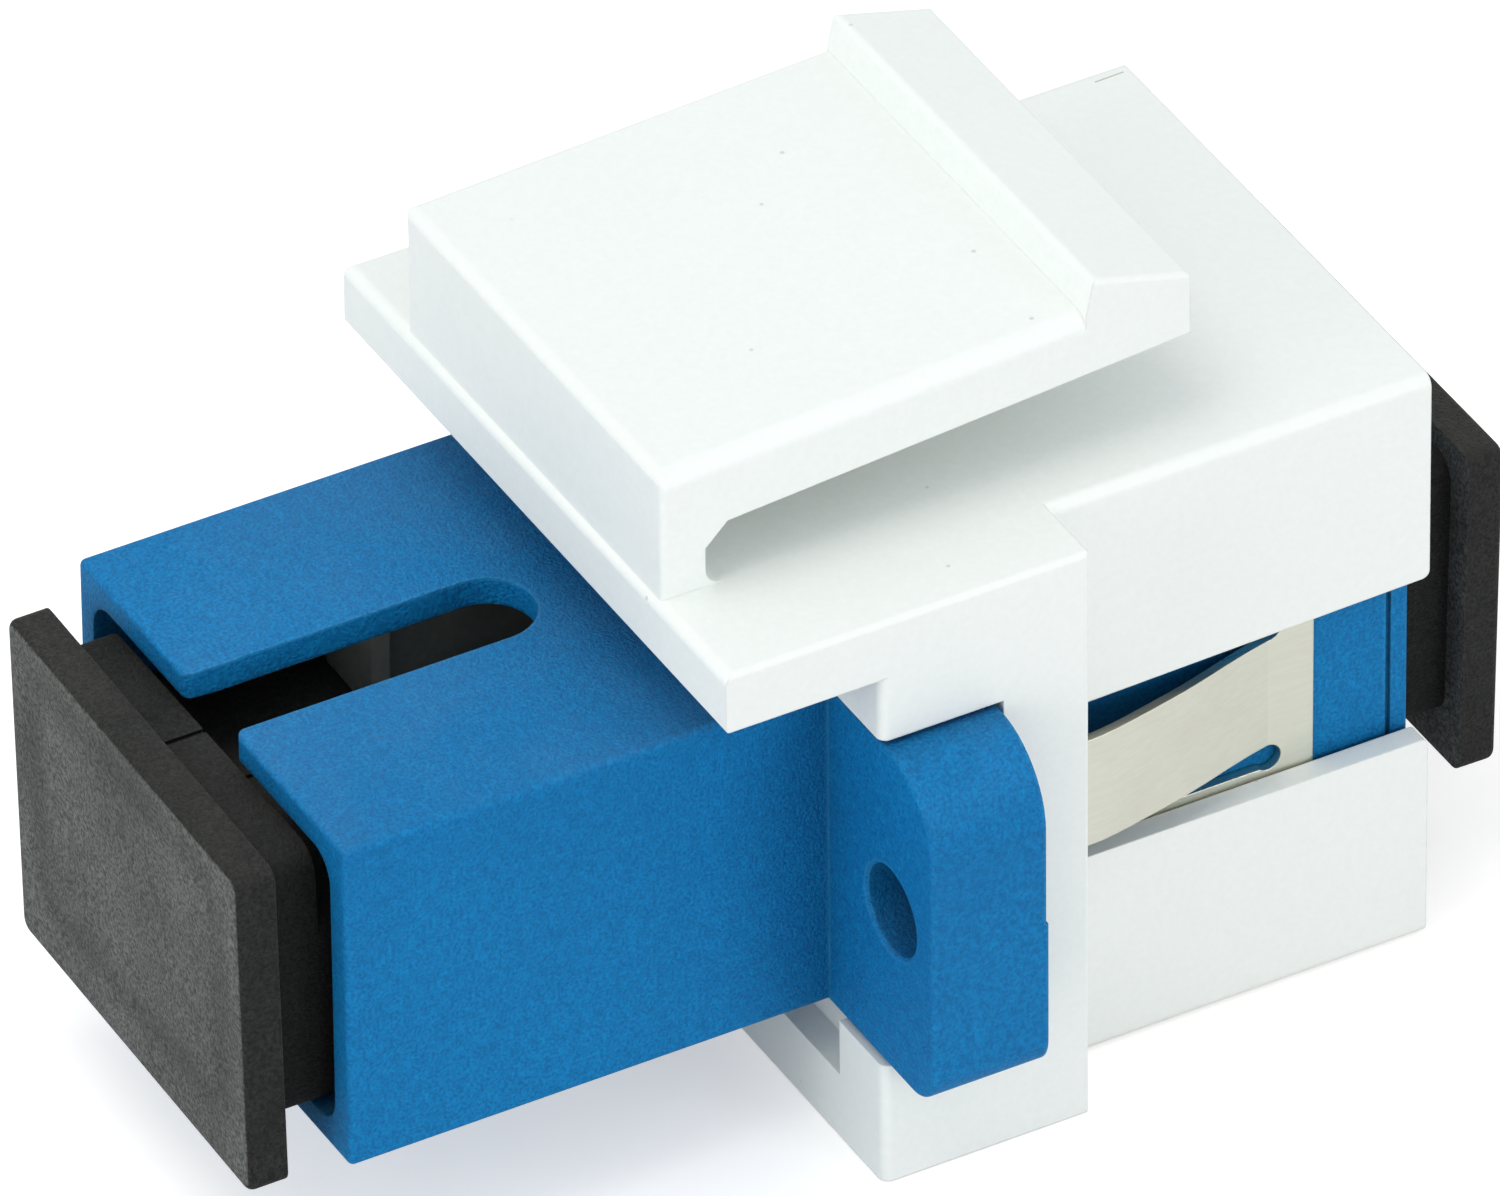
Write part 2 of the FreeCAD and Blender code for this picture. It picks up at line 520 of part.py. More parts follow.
def front_box():
    """The block that enters the panel, with rounded long edges."""
    block = centred(BOX_WIDTH, COLUMN_FRONT - 2 * COLUMN_FRONT_ROUND, BOX_FRONT,
                    CARRIER_HEIGHT)
    return round_along(block, BOX_EDGE_ROUND, Y_AXIS)


def sloping_bar(y, height, rise, near_round, far_round):
    """A bar as wide as the lever whose sloping top passes through one height at y."""
    z = CARRIER_TOP + height
    bar = box(LEVER_FAR_X, LEVER_NEAR_X, y - BIG / 2, y + BIG / 2, z - BIG / 2, z)
    bar = round_along(bar, near_round, Y_AXIS, lambda p: near(p.z, z) and p.x > 0)
    bar = round_along(bar, far_round, Y_AXIS, lambda p: near(p.z, z) and p.x < 0)
    bar.rotate(Vector(0, y, z), X_AXIS, math.degrees(math.atan(rise)))
    return bar


def lever_arm():
    """The lever without its ridge: an upright root and a thin sloping arm."""
    top, root = CARRIER_TOP, CARRIER_TOP - SHELF_THICKNESS / 2
    outline = [(LEVER_REAR, root), (LEVER_REAR, top + LEVER_ROOT_HEIGHT),
               (LEVER_TIP, top + LEVER_TIP_HEIGHT), (LEVER_TIP, top + LEVER_GAP_TIP),
               (SLIT_END + SLIT_END_BEVEL, top + LEVER_GAP_ROOT),
               (SLIT_END, top + LEVER_GAP_ROOT - SLIT_END_BEVEL), (SLIT_END, root)]
    arm = prism_x(outline, LEVER_FAR_X, LEVER_NEAR_X)
    arm = round_along(arm, LEVER_REAR_ROUND, X_AXIS,
                      lambda p: near(p.y, LEVER_REAR) and p.z > top)
    plan_view = box(LEVER_FAR_X, LEVER_NEAR_X, LEVER_REAR, BIG, 0, BIG)
    plan_view = round_along(plan_view, LEVER_CORNER_ROUND, Z_AXIS,
                            lambda p: near(p.y, LEVER_REAR))
    bar = sloping_bar(LEVER_REAR, LEVER_ROOT_HEIGHT, LEVER_RISE,
                      LEVER_NEAR_ROUND, LEVER_FAR_ROUND)
    foot = box(LEVER_FAR_X, LEVER_NEAR_X, SLIT_END, SLIT_END + SLIT_END_ROUND,
               root, top + SLIT_END_ROUND)
    relief = Part.makeCylinder(SLIT_END_ROUND, LEVER_WIDTH,
                               Vector(LEVER_FAR_X, SLIT_END + SLIT_END_ROUND,
                                      top + SLIT_END_ROUND), X_AXIS)
    return arm.common(plan_view).common(bar).fuse(foot.cut(relief))


def lever_ridge():
    """The catch across the free end: steep towards the root, sloping to the tip."""
    top = CARRIER_TOP
    crest = RIDGE_FOOT + RIDGE_FACE_RUN
    crest_height = RIDGE_FOOT_HEIGHT + RIDGE_HEIGHT
    end_height = LEVER_TIP_HEIGHT + RIDGE_END_RISE
    middle = (LEVER_GAP_TIP + LEVER_TIP_HEIGHT) / 2
    outline = [(RIDGE_FOOT, top + middle), (RIDGE_FOOT, top + RIDGE_FOOT_HEIGHT),
               (crest, top + crest_height), (LEVER_TIP, top + end_height),
               (LEVER_TIP, top + middle)]
    ridge = prism_x(outline, LEVER_FAR_X, LEVER_NEAR_X)
    ridge = round_along(ridge, RIDGE_EDGE_ROUND, X_AXIS,
                        lambda p: p.y > RIDGE_FOOT and p.z > top + middle)
    rise = (end_height - crest_height) / (LEVER_TIP - crest)
    return ridge.common(sloping_bar(crest, crest_height, rise,
                                    RIDGE_EDGE_ROUND, RIDGE_EDGE_ROUND))


def latch_lever():
    """The springy lever over the carrier's top, moulded in one with it."""
    return lever_arm().fuse(lever_ridge())


def adapter_passage():
    """Everything the adapter fills: body passage, flange pocket and its two steps."""
    passage = centred(PASSAGE_WIDTH, -BIG / 2, BIG / 2, PASSAGE_HEIGHT)
    pocket = centred(BIG, -BIG / 2, FLANGE_FRONT + POCKET_FLANGE_GAP, POCKET_HEIGHT)
    relief = centred(RELIEF_WIDTH, -BIG / 2, COLUMN_REAR + RELIEF_DEPTH,
                     POCKET_HEIGHT + 2 * RELIEF_HEIGHT)
    return passage.fuse(pocket).fuse(relief.cut(box(-BIG, BIG, -BIG, BIG,
                                                    CARRIER_TOP - SHELF_THICKNESS, BIG)))


def side_windows():
    """Open windows in both side walls of the box, out to its front end."""
    outline = [(COLUMN_FRONT, -WINDOW_BOTTOM), (BOX_FRONT + 1, -WINDOW_BOTTOM),
               (BOX_FRONT + 1, WINDOW_TOP), (BOX_FRONT, WINDOW_TOP),
               (COLUMN_FRONT, WINDOW_TOP_REAR)]
    return prism_x(outline, -BIG / 2, BIG / 2)


def core_pockets():
    """Pockets that keep the moulding's walls even, open at the front face."""
    z0 = PASSAGE_HEIGHT / 2 + CORE_WALL
    z1 = CARRIER_TOP - CORE_WALL
    row_width = BOX_WIDTH - 2 * CORE_WALL
    width = (row_width - (CORE_COUNT - 1) * CORE_RIB) / CORE_COUNT
    pockets = []
    for index in range(CORE_COUNT):
        x0 = -row_width / 2 + index * (width + CORE_RIB)
        pockets.append(box(x0, x0 + width, BOX_FRONT - CORE_DEPTH, BOX_FRONT + 1, z0, z1))
        pockets.append(box(x0, x0 + width, BOX_FRONT - CORE_DEPTH, BOX_FRONT + 1, -z1, -z0))
    return Part.makeCompound(pockets)


def carrier():
    solid = column_and_shelf().fuse(front_box()).fuse(latch_lever())
    solid = solid.cut(adapter_passage()).cut(side_windows()).cut(core_pockets())
    solid = round_along(solid, WINDOW_CORNER_ROUND, X_AXIS,
                        lambda p: near(p.y, BOX_FRONT)
                        and (near(p.z, WINDOW_TOP) or near(p.z, -WINDOW_BOTTOM)))
    return solid.removeSplitter()


def single(shape):
    """The one solid inside a boolean's result."""
    if len(shape.Solids) != 1:
        raise ValueError("expected one solid, got %d" % len(shape.Solids))
    return shape.Solids[0]


PARTS = {
    "keystone_carrier": carrier,
    "adapter_housing": housing,
    "retaining_clip": clip,
    "front_latch_insert": latch_insert,
    "rear_latch_insert": lambda: turned(latch_insert()),
    "alignment_sleeve": sleeve,
    "front_dust_cap": lambda: dust_cap(FRONT_CAP_STANDOFF),
    "rear_dust_cap": rear_cap,
}


def main():
    os.makedirs("parts", exist_ok=True)
    for name, make in PARTS.items():
        solid = single(make())
        if not solid.isValid():
            raise ValueError(name + " is not a valid solid")
        solid.exportStep("parts/%s.step" % name)
        print("%-20s %8.1f mm3" % (name, solid.Volume))


main()
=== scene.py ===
"""Looks of a simplex fibre adapter in its keystone carrier: finishes, fine detail and stage."""
import math

import bmesh
import bpy
from bpy.props import FloatProperty, FloatVectorProperty, PointerProperty
from mathutils import Matrix, Vector


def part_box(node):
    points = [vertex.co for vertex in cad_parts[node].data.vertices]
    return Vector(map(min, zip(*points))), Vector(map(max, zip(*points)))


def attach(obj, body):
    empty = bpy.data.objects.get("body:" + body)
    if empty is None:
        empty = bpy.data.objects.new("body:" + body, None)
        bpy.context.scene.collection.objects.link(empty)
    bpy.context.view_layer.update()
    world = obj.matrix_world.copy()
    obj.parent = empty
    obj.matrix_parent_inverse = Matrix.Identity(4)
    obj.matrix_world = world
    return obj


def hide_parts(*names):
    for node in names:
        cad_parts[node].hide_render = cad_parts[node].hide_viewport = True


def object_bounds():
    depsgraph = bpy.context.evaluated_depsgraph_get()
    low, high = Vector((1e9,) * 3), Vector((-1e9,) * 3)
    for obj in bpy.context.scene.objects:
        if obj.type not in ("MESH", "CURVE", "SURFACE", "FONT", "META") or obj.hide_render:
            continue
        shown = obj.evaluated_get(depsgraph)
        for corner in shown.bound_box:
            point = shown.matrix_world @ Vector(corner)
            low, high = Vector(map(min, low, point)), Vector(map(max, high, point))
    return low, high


bl_info = {
    "name": "Fibre Adapter Looks",
    "version": (1, 0, 0),
    "blender": (4, 5, 0),
    "location": "View3D > Sidebar > Adapter",
    "description": "Dresses a simplex fibre adapter in a keystone carrier",
    "category": "Object",
}

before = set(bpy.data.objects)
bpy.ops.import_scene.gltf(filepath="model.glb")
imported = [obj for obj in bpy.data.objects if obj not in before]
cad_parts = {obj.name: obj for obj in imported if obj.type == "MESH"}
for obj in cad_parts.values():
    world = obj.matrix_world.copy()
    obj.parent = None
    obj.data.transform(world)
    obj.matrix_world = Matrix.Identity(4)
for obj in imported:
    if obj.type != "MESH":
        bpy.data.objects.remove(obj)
CAD_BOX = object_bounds()
MM = 0.001
GRAIN = 11000.0               # cells of spark-eroded grain in a metre

# The step in the caps' plugs
STEP_SLOPE = 0.05 * MM        # how far a step runs along the plug
PLUG_HOLLOW_HALF = 4.3 * MM   # half the width within which a plug is hollow
PLUG_HOLLOW_TOP = 2.95 * MM   # height under which a plug is hollow
SAME_PLACE = 0.001 * MM       # vertices nearer than this lie in one place
CUT_TOLERANCE = 0.0001 * MM   # a cut makes no new vertex nearer than this to an old one
SMOOTH_ANGLE = math.radians(25)

SINK_DEPTH = 0.05 * MM        # depth of the sink that a plug leaves in its cap's plate

# The short hair mark on top of the carrier's front block, a thin line along the fibre
HAIR_INSET = 6.44 * MM
HAIR_LEAN = 0.03
HAIR_HALF_WIDTH = 0.025 * MM
HAIR_START = 13.4 * MM
HAIR_END = 14.2 * MM
HAIR_LOWEST = 8.2 * MM
HAIR_STRENGTH = 0.6

# The few dark specks in the white plastic
SPECK_SCALE = 700.0           # cells in a metre, each with room for one speck
SPECK_SIZE = 0.055            # radius as a share of a cell
SPECK_RARITY = 0.6            # share of the cells without one
SPECK_STRENGTH = 0.45

# Colours that have no setting of their own
WHITE = (1.0, 1.0, 1.0)
BLACK = (0.0, 0.0, 0.0)
# Lighter edge colour of the carrier: rubbing wear and a painted highlight.
CARRIER_WEAR_AND_HIGHLIGHT = (0.865, 0.886, 0.87)
SPECK_BROWN = (0.35, 0.34, 0.30)
HAIR_BROWN = (0.30, 0.28, 0.20)
# Pale colours of dust on faces that look up, also a painted sheen where the light from above
# falls.
DUST_AND_SHEEN_GREY = (0.55, 0.56, 0.55)
CAP_DUST_AND_SHEEN = (0.55, 0.53, 0.47)
# Painted sheen on the caps' plate faces, standing in for their reflection.
CAP_PAINTED_SHEEN = (0.6, 0.63, 0.62)
STEEL_LINES = (0.60, 0.60, 0.52)
STEEL_SMUDGES = (0.58, 0.56, 0.48)
STEEL_SHEARED = (0.70, 0.67, 0.56)
INSERT_SHADE = (0.5, 0.48, 0.40)
# Lighter edge colour of the inserts: rubbing wear and a painted highlight.
INSERT_WEAR_AND_HIGHLIGHT = (0.8, 0.79, 0.72)
SLEEVE_SHADE = (0.74, 0.72, 0.66)
# Lighter edge colour of the sleeve: rubbing wear and a painted highlight.
SLEEVE_WEAR_AND_HIGHLIGHT = (0.9, 0.89, 0.85)
PAINTED_SHADE_SHARE = 0.03          # painted shade: the colour in corners and gaps, as a share of the plastic's shade

# The stage
KEY_PLACE, KEY_SIZE, KEY_COLOUR = (0.0, -0.12, 0.38), 0.25, (1.0, 0.97, 0.88)
SIDE_PLACE, SIDE_SIZE, SIDE_COLOUR = (0.42, 0.16, 0.12), 0.2, WHITE
REAR_PLACE, REAR_SIZE, REAR_COLOUR = (0.08, -0.45, 0.15), 0.3, (0.97, 1.0, 1.0)
LAMP_TARGET = (0.0, 0.0, 0.0)
WORLD_TINT = (0.955, 1.0, 1.02)
FLOOR_SIZE = 2.4
FLOOR_GAP = 0.02 * MM         # keeps the floor's plane clear of the object's underside
FLOOR_COLOUR = (0.84, 0.815, 0.80)
FLOOR_GLOW = 0.42             # added for the camera alone, so that the bare floor is white


# --- shader building -------------------------------------------------------------------
class Graph:
    """A node tree of a material, a group or the world, with short calls for its nodes."""

    COLOUR_A, COLOUR_B, COLOUR_RESULT = 6, 7, 2   # a Mix node's sockets when it mixes colours

    def __init__(self, tree):
        self.tree = tree

    def add(self, kind, **values):
        node = self.tree.nodes.new(kind)
        for name, value in values.items():
            setattr(node, name, value)
        return node

    def feed(self, value, socket):
        """Links an output to a socket, or writes a plain value on it."""
        if isinstance(value, bpy.types.NodeSocket):
            self.tree.links.new(value, socket)
        else:
            socket.default_value = value

    def noise(self, vector, scale, detail=3.0, roughness=0.6):
        node = self.add("ShaderNodeTexNoise")
        self.feed(vector, node.inputs["Vector"])
        self.feed(scale, node.inputs["Scale"])
        node.inputs["Detail"].default_value = detail
        node.inputs["Roughness"].default_value = roughness
        return node.outputs["Fac"]

    def math(self, operation, first, second=0.0, third=0.0):
        node = self.add("ShaderNodeMath", operation=operation)
        for value, socket in zip((first, second, third), node.inputs):
            self.feed(value, socket)
        return node.outputs[0]

    def remap(self, value, low, high, to_low=0.0, to_high=1.0):
        node = self.add("ShaderNodeMapRange", clamp=True)
        for socket, number in zip(node.inputs, (value, low, high, to_low, to_high)):
            self.feed(number, socket)
        return node.outputs["Result"]

    def mix(self, factor, first, second):
        node = self.add("ShaderNodeMix", data_type="RGBA", blend_type="MIX")
        self.feed(factor, node.inputs["Factor"])
        self.feed(first, node.inputs[self.COLOUR_A])
        self.feed(second, node.inputs[self.COLOUR_B])
        return node.outputs[self.COLOUR_RESULT]

    def bump(self, height, distance, normal):
        """The normal of a surface with that height over it, at full strength."""
        node = self.add("ShaderNodeBump")
        node.inputs["Strength"].default_value = 1.0
        node.inputs["Distance"].default_value = distance
        self.feed(height, node.inputs["Height"])
        self.feed(normal, node.inputs["Normal"])
        return node.outputs["Normal"]

    def parts(self, vector):
        """The x, y and z of a vector."""
        node = self.add("ShaderNodeSeparateXYZ")
        self.feed(vector, node.inputs[0])
        return node.outputs

    def stretched(self, vector, scale):
        node = self.add("ShaderNodeMapping")
        self.feed(vector, node.inputs["Vector"])
        node.inputs["Scale"].default_value = scale
        return node.outputs["Vector"]

    def facing(self):
        """The x, y and z of the direction that the plain surface faces."""
        return self.parts(self.add("ShaderNodeNewGeometry").outputs["True Normal"])

    def group(self, name, **values):
        """One of the shared groups, with its inputs fed by name; returns its outputs."""
        node = self.add("ShaderNodeGroup", node_tree=shared_group(name))
        for name, value in values.items():
            self.feed(value, node.inputs[name.replace("_", " ")])
        return node.outputs


def new_group(name, inputs, outputs):
    """A node group with named sockets; returns its graph, its input node and its output node."""
    tree = bpy.data.node_groups.new(name, "ShaderNodeTree")
    for label, kind, default in inputs:
        socket = tree.interface.new_socket(label, in_out="INPUT", socket_type=kind)
        socket.default_value = default
    for label, kind in outputs:
        tree.interface.new_socket(label, in_out="OUTPUT", socket_type=kind)
    graph = Graph(tree)
    return graph, graph.add("NodeGroupInput"), graph.add("NodeGroupOutput")


def rgb(colour):
    return (*colour, 1.0)


def moulded_grain_group():
    """Spark-eroded mould texture: a fine pitted height and the same as a mask."""
    graph, inlet, outlet = new_group(
        "moulded_grain",
        [("Position", "NodeSocketVector", (0, 0, 0)), ("Grain Scale", "NodeSocketFloat", 9000.0)],
        [("Height", "NodeSocketFloat"), ("Pits", "NodeSocketFloat")])
    position, scale = inlet.outputs[0], inlet.outputs[1]
    fine = graph.noise(position, scale, 2.0, 0.6)
    coarse = graph.noise(position, graph.math("MULTIPLY", scale, 0.45), 2.0, 0.5)
    height = graph.math("ADD", graph.math("MULTIPLY", fine, 0.75),
                        graph.math("MULTIPLY", coarse, 0.25))
    graph.feed(height, outlet.inputs["Height"])
    graph.feed(graph.remap(height, 0.36, 0.62), outlet.inputs["Pits"])
    return graph.tree


def tone_group():
    """Slow, faint changes of shade over a moulding, and finer mottling."""
    graph, inlet, outlet = new_group(
        "moulding_tone",
        [("Position", "NodeSocketVector", (0, 0, 0)), ("Colour", "NodeSocketColor", (1, 1, 1, 1)),
         ("Shade", "NodeSocketColor", (0, 0, 0, 1)), ("Amount", "NodeSocketFloat", 0.2)],
        [("Colour", "NodeSocketColor")])
    slow = graph.noise(inlet.outputs["Position"], 140.0, 2.0, 0.5)
    fine = graph.noise(inlet.outputs["Position"], 2600.0)
    both = graph.math("ADD", graph.math("MULTIPLY", slow, 0.5),
                      graph.math("MULTIPLY", fine, 0.5))
    factor = graph.math("MULTIPLY", graph.remap(both, 0.38, 0.62), inlet.outputs["Amount"])
    graph.feed(graph.mix(factor, inlet.outputs["Colour"], inlet.outputs["Shade"]),
               outlet.inputs["Colour"])
    return graph.tree


def resting_dust_and_sheen_group():
    """A thin pale veil on faces that look up, patchy, with a few coarser grains in it: dust, and a
    painted sheen where the light from above falls.
    """
    graph, inlet, outlet = new_group(
        "resting_dust_and_sheen",
        [("Position", "NodeSocketVector", (0, 0, 0)), ("Amount", "NodeSocketFloat", 0.05)],
        [("Veil", "NodeSocketFloat")])
    position, amount = inlet.outputs[0], inlet.outputs[1]
    facing = graph.parts(graph.add("ShaderNodeNewGeometry").outputs["Normal"])[2]
    patches = graph.remap(graph.noise(position, 260.0), 0.35, 0.65, 0.2, 1.0)
    grains = graph.remap(graph.noise(position, 7000.0, 2.0, 0.7), 0.62, 0.72, 0.0, 0.9)
    lying = graph.math("MULTIPLY", graph.remap(facing, 0.3, 1.0),
                       graph.math("ADD", patches, grains))
    graph.feed(graph.math("MULTIPLY", lying, amount), outlet.inputs["Veil"])
    return graph.tree


def wear_and_highlight_edge_group():
    """A narrow mask along sharp edges, broken up by handling, for rubbing wear and a painted
    highlight, and the edges' softened normal.
    """
    graph, inlet, outlet = new_group(
        "wear_and_highlight_edge",
        [("Position", "NodeSocketVector", (0, 0, 0)), ("Width", "NodeSocketFloat", 0.06 * MM)],
        [("Edge", "NodeSocketFloat"), ("Normal", "NodeSocketVector")])
    softened = graph.add("ShaderNodeBevel", samples=4)
    graph.feed(inlet.outputs["Width"], softened.inputs["Radius"])
    turn = graph.add("ShaderNodeVectorMath", operation="DOT_PRODUCT")
    graph.feed(softened.outputs["Normal"], turn.inputs[0])
    graph.feed(graph.add("ShaderNodeNewGeometry").outputs["True Normal"], turn.inputs[1])
    broken = graph.remap(graph.noise(inlet.outputs["Position"], 1300.0), 0.35, 0.6, 0.35, 1.0)
    graph.feed(graph.math("MULTIPLY", graph.remap(turn.outputs["Value"], 0.98, 0.85), broken),
               outlet.inputs["Edge"])
    graph.feed(softened.outputs["Normal"], outlet.inputs["Normal"])
    return graph.tree


def painted_shade_group():
    """A mask of painted shade, from ambient occlusion, for corners, slots and gaps, where the
    colour is darkened.
    """
    graph, inlet, outlet = new_group(
        "crevice", [("Reach", "NodeSocketFloat", 3.0 * MM), ("Amount", "NodeSocketFloat", 0.5)],
        [("Painted Shade", "NodeSocketFloat")])
    open_sky = graph.add("ShaderNodeAmbientOcclusion", samples=4)
    graph.feed(inlet.outputs["Reach"], open_sky.inputs["Distance"])
    closed = graph.remap(open_sky.outputs["AO"], 0.85, 0.15)
    graph.feed(graph.math("MULTIPLY", closed, inlet.outputs["Amount"]),
               outlet.inputs["Painted Shade"])
    return graph.tree


def specks_group():
    """A few small round inclusions, as dark dots scattered through a moulding."""
    graph, inlet, outlet = new_group(
        "specks",
        [("Position", "NodeSocketVector", (0, 0, 0)), ("Spacing Scale", "NodeSocketFloat", 700.0),
         ("Size", "NodeSocketFloat", 0.06), ("Rarity", "NodeSocketFloat", 0.7)],
        [("Specks", "NodeSocketFloat")])
    cells = graph.add("ShaderNodeTexVoronoi")
    graph.feed(inlet.outputs["Position"], cells.inputs["Vector"])
    graph.feed(inlet.outputs["Spacing Scale"], cells.inputs["Scale"])
    size = inlet.outputs["Size"]
    dots = graph.remap(cells.outputs["Distance"], size, graph.math("MULTIPLY", size, 0.4))
    chosen = graph.math("GREATER_THAN", graph.parts(cells.outputs["Color"])[0],
                        inlet.outputs["Rarity"])
    graph.feed(graph.math("MULTIPLY", dots, chosen), outlet.inputs["Specks"])
    return graph.tree


def sink_ring_group():
    """The shallow sink that a hollow plug leaves in the outside of a plate moulded on it."""
    graph, inlet, outlet = new_group(
        "sink_ring",
        [("Position", "NodeSocketVector", (0, 0, 0)), ("Half Width", "NodeSocketFloat", 4.65 * MM),
         ("Half Height", "NodeSocketFloat", 3.33 * MM),
         ("Corner", "NodeSocketFloat", 1.0 * MM), ("Spread", "NodeSocketFloat", 0.9 * MM)],
        [("Sink", "NodeSocketFloat")])
    across, _, up = graph.parts(inlet.outputs["Position"])
    corner = inlet.outputs["Corner"]
    past = []
    for place, half in ((across, inlet.outputs["Half Width"]), (up, inlet.outputs["Half Height"])):
        reach = graph.math("SUBTRACT", half, corner)
        past.append(graph.math("SUBTRACT", graph.math("ABSOLUTE", place), reach))
    outside = [graph.math("POWER", graph.math("MAXIMUM", value, 0.0), 2.0) for value in past]
    beyond = graph.math("SQRT", graph.math("ADD", *outside))
    within = graph.math("MINIMUM", graph.math("MAXIMUM", *past), 0.0)
    distance = graph.math("SUBTRACT", graph.math("ADD", beyond, within), corner)
    away = graph.math("DIVIDE", graph.math("ABSOLUTE", distance), inlet.outputs["Spread"])
    ring = graph.add("ShaderNodeMapRange", interpolation_type="SMOOTHSTEP")
    for socket, value in zip(ring.inputs, (away, 0.0, 1.0, 1.0, 0.0)):
        graph.feed(value, socket)
    graph.feed(ring.outputs["Result"], outlet.inputs["Sink"])
    return graph.tree


GROUP_BUILDERS = {
    "moulded_grain": moulded_grain_group,
    "moulding_tone": tone_group,
    "resting_dust_and_sheen": resting_dust_and_sheen_group,
    "wear_and_highlight_edge": wear_and_highlight_edge_group,
    "crevice": painted_shade_group,
    "specks": specks_group,
    "sink_ring": sink_ring_group,
}


def shared_group(name):
    """The node group of that name, built when it is first asked for."""
    return bpy.data.node_groups.get(name) or GROUP_BUILDERS[name]()


def new_finish(name):
    """An empty material with its shader; returns the material, graph, shader and position."""
    material = bpy.data.materials.new(name)
    material.use_nodes = True
    graph = Graph(material.node_tree)
    shader = material.node_tree.nodes["Principled BSDF"]
    position = graph.add("ShaderNodeTexCoord").outputs["Object"]
    return material, graph, shader, position


def moulded_plastic(name, colour, shade, wear_and_highlight, *, toning, roughness, specular, grain, depth,
                    edge=0.06 * MM, painted_shade_amount=0.0, reach=3.0 * MM, pitting=0.25, dust_and_sheen=0.0,
                    dust_and_sheen_colour=DUST_AND_SHEEN_GREY):
    """A moulded plastic: toned colour, pitted grain, edges lightened by rubbing wear and a painted
    highlight, dust with a painted sheen on faces that look up, painted shade in corners and gaps,
    and a satin shine.
    """
    material, graph, shader, position = new_finish(name)
    texture = graph.group("moulded_grain", Position=position, Grain_Scale=grain)
    tone = graph.group("moulding_tone", Position=position, Colour=rgb(colour),
                       Shade=rgb(shade), Amount=toning)
    edges = graph.group("wear_and_highlight_edge", Position=position, Width=edge)
    body = graph.mix(graph.math("MULTIPLY", texture["Pits"], pitting), tone["Colour"],
                     rgb(shade))
    # Lighter edges: rubbing wear and a painted highlight.
    body = graph.mix(edges["Edge"], body, rgb(wear_and_highlight))
    # Painted shade: the colour darkens towards near black in corners, slots and gaps.
    crevice = graph.group("crevice", Reach=reach, Amount=painted_shade_amount)
    body = graph.mix(crevice["Painted Shade"], body,
                     rgb([PAINTED_SHADE_SHARE * value for value in shade]))
    # Dust on faces that look up, with a painted sheen from the light above.
    if dust_and_sheen:
        veil = graph.group("resting_dust_and_sheen", Position=position, Amount=dust_and_sheen)
        body = graph.mix(veil["Veil"], body, rgb(dust_and_sheen_colour))
    graph.feed(body, shader.inputs["Base Color"])
    dull = graph.math("MULTIPLY", crevice["Painted Shade"], 0.3)
    spread = 0.06
    satin = graph.remap(texture["Height"], 0.3, 0.7, roughness + spread, roughness - spread)
    graph.feed(graph.math("ADD", dull, satin), shader.inputs["Roughness"])
    shader.inputs["Specular IOR Level"].default_value = specular
    graph.feed(graph.bump(texture["Height"], depth, edges["Normal"]), shader.inputs["Normal"])
    return material, graph, shader, position


def relayer(graph, socket, mask, colour):
    """Mixes a colour over what already feeds a colour socket."""
    graph.feed(graph.mix(mask, socket.links[0].from_socket, colour), socket)


def hair_mark(graph, position):
    """A mask for the hair mark on the carrier's front block."""
    across, along, up = graph.parts(position)
    line = graph.math("MULTIPLY_ADD", along, HAIR_LEAN, HAIR_INSET)
    away = graph.math("ABSOLUTE", graph.math("ADD", across, line))
    mark = graph.math("LESS_THAN", away, HAIR_HALF_WIDTH)
    for test, value, limit in (("GREATER_THAN", along, HAIR_START),
                               ("LESS_THAN", along, HAIR_END),
                               ("GREATER_THAN", up, HAIR_LOWEST)):
        mark = graph.math("MULTIPLY", mark, graph.math(test, value, limit))
    return mark


def cap_plastic(settings):
    """The caps' black plastic: a painted pale sheen on the plate's faces, standing in for their
    reflection, and the plug's sink in them.
    """
    # Painted shade almost to black in the caps' gaps and hollows, a painted highlight on the
    # edges, and a painted sheen with the dust.
    material, graph, shader, position = moulded_plastic(
        "cap_plastic", settings.cap_black, settings.cap_shade, settings.cap_wear_and_highlight,
        toning=0.4, roughness=0.68, specular=0.2, grain=GRAIN, depth=0.09 * MM, painted_shade_amount=0.95,
        pitting=0.9, dust_and_sheen=0.025, dust_and_sheen_colour=CAP_DUST_AND_SHEEN)
    ring = graph.group("sink_ring", Position=position)
    plate = graph.remap(graph.math("ABSOLUTE", graph.facing()[1]), 0.9, 0.98)
    sunk = graph.math("MULTIPLY", ring["Sink"], plate)
    texture = graph.group("moulded_grain", Position=position, Grain_Scale=GRAIN)
    cloudy = graph.remap(graph.noise(position, 330.0, 2.0, 0.5), 0.35, 0.65, 0.82, 1.18)
    # Painted sheen: the plate's faces are lighter, standing in for their reflection, and less so
    # in the sink.
    painted_sheen = graph.math("MULTIPLY", plate, graph.remap(texture["Pits"], 0.0, 1.0, 0.18, 0.05))
    relayer(graph, shader.inputs["Base Color"],
            graph.math("MULTIPLY", graph.math("MULTIPLY", painted_sheen, cloudy),
                       graph.remap(sunk, 0.0, 1.0, 1.1, 0.75)),
            rgb(CAP_PAINTED_SHEEN))
    normal = shader.inputs["Normal"].links[0].from_socket
    graph.feed(graph.bump(graph.math("MULTIPLY", sunk, -1.0), SINK_DEPTH, normal),
               shader.inputs["Normal"])
    return material


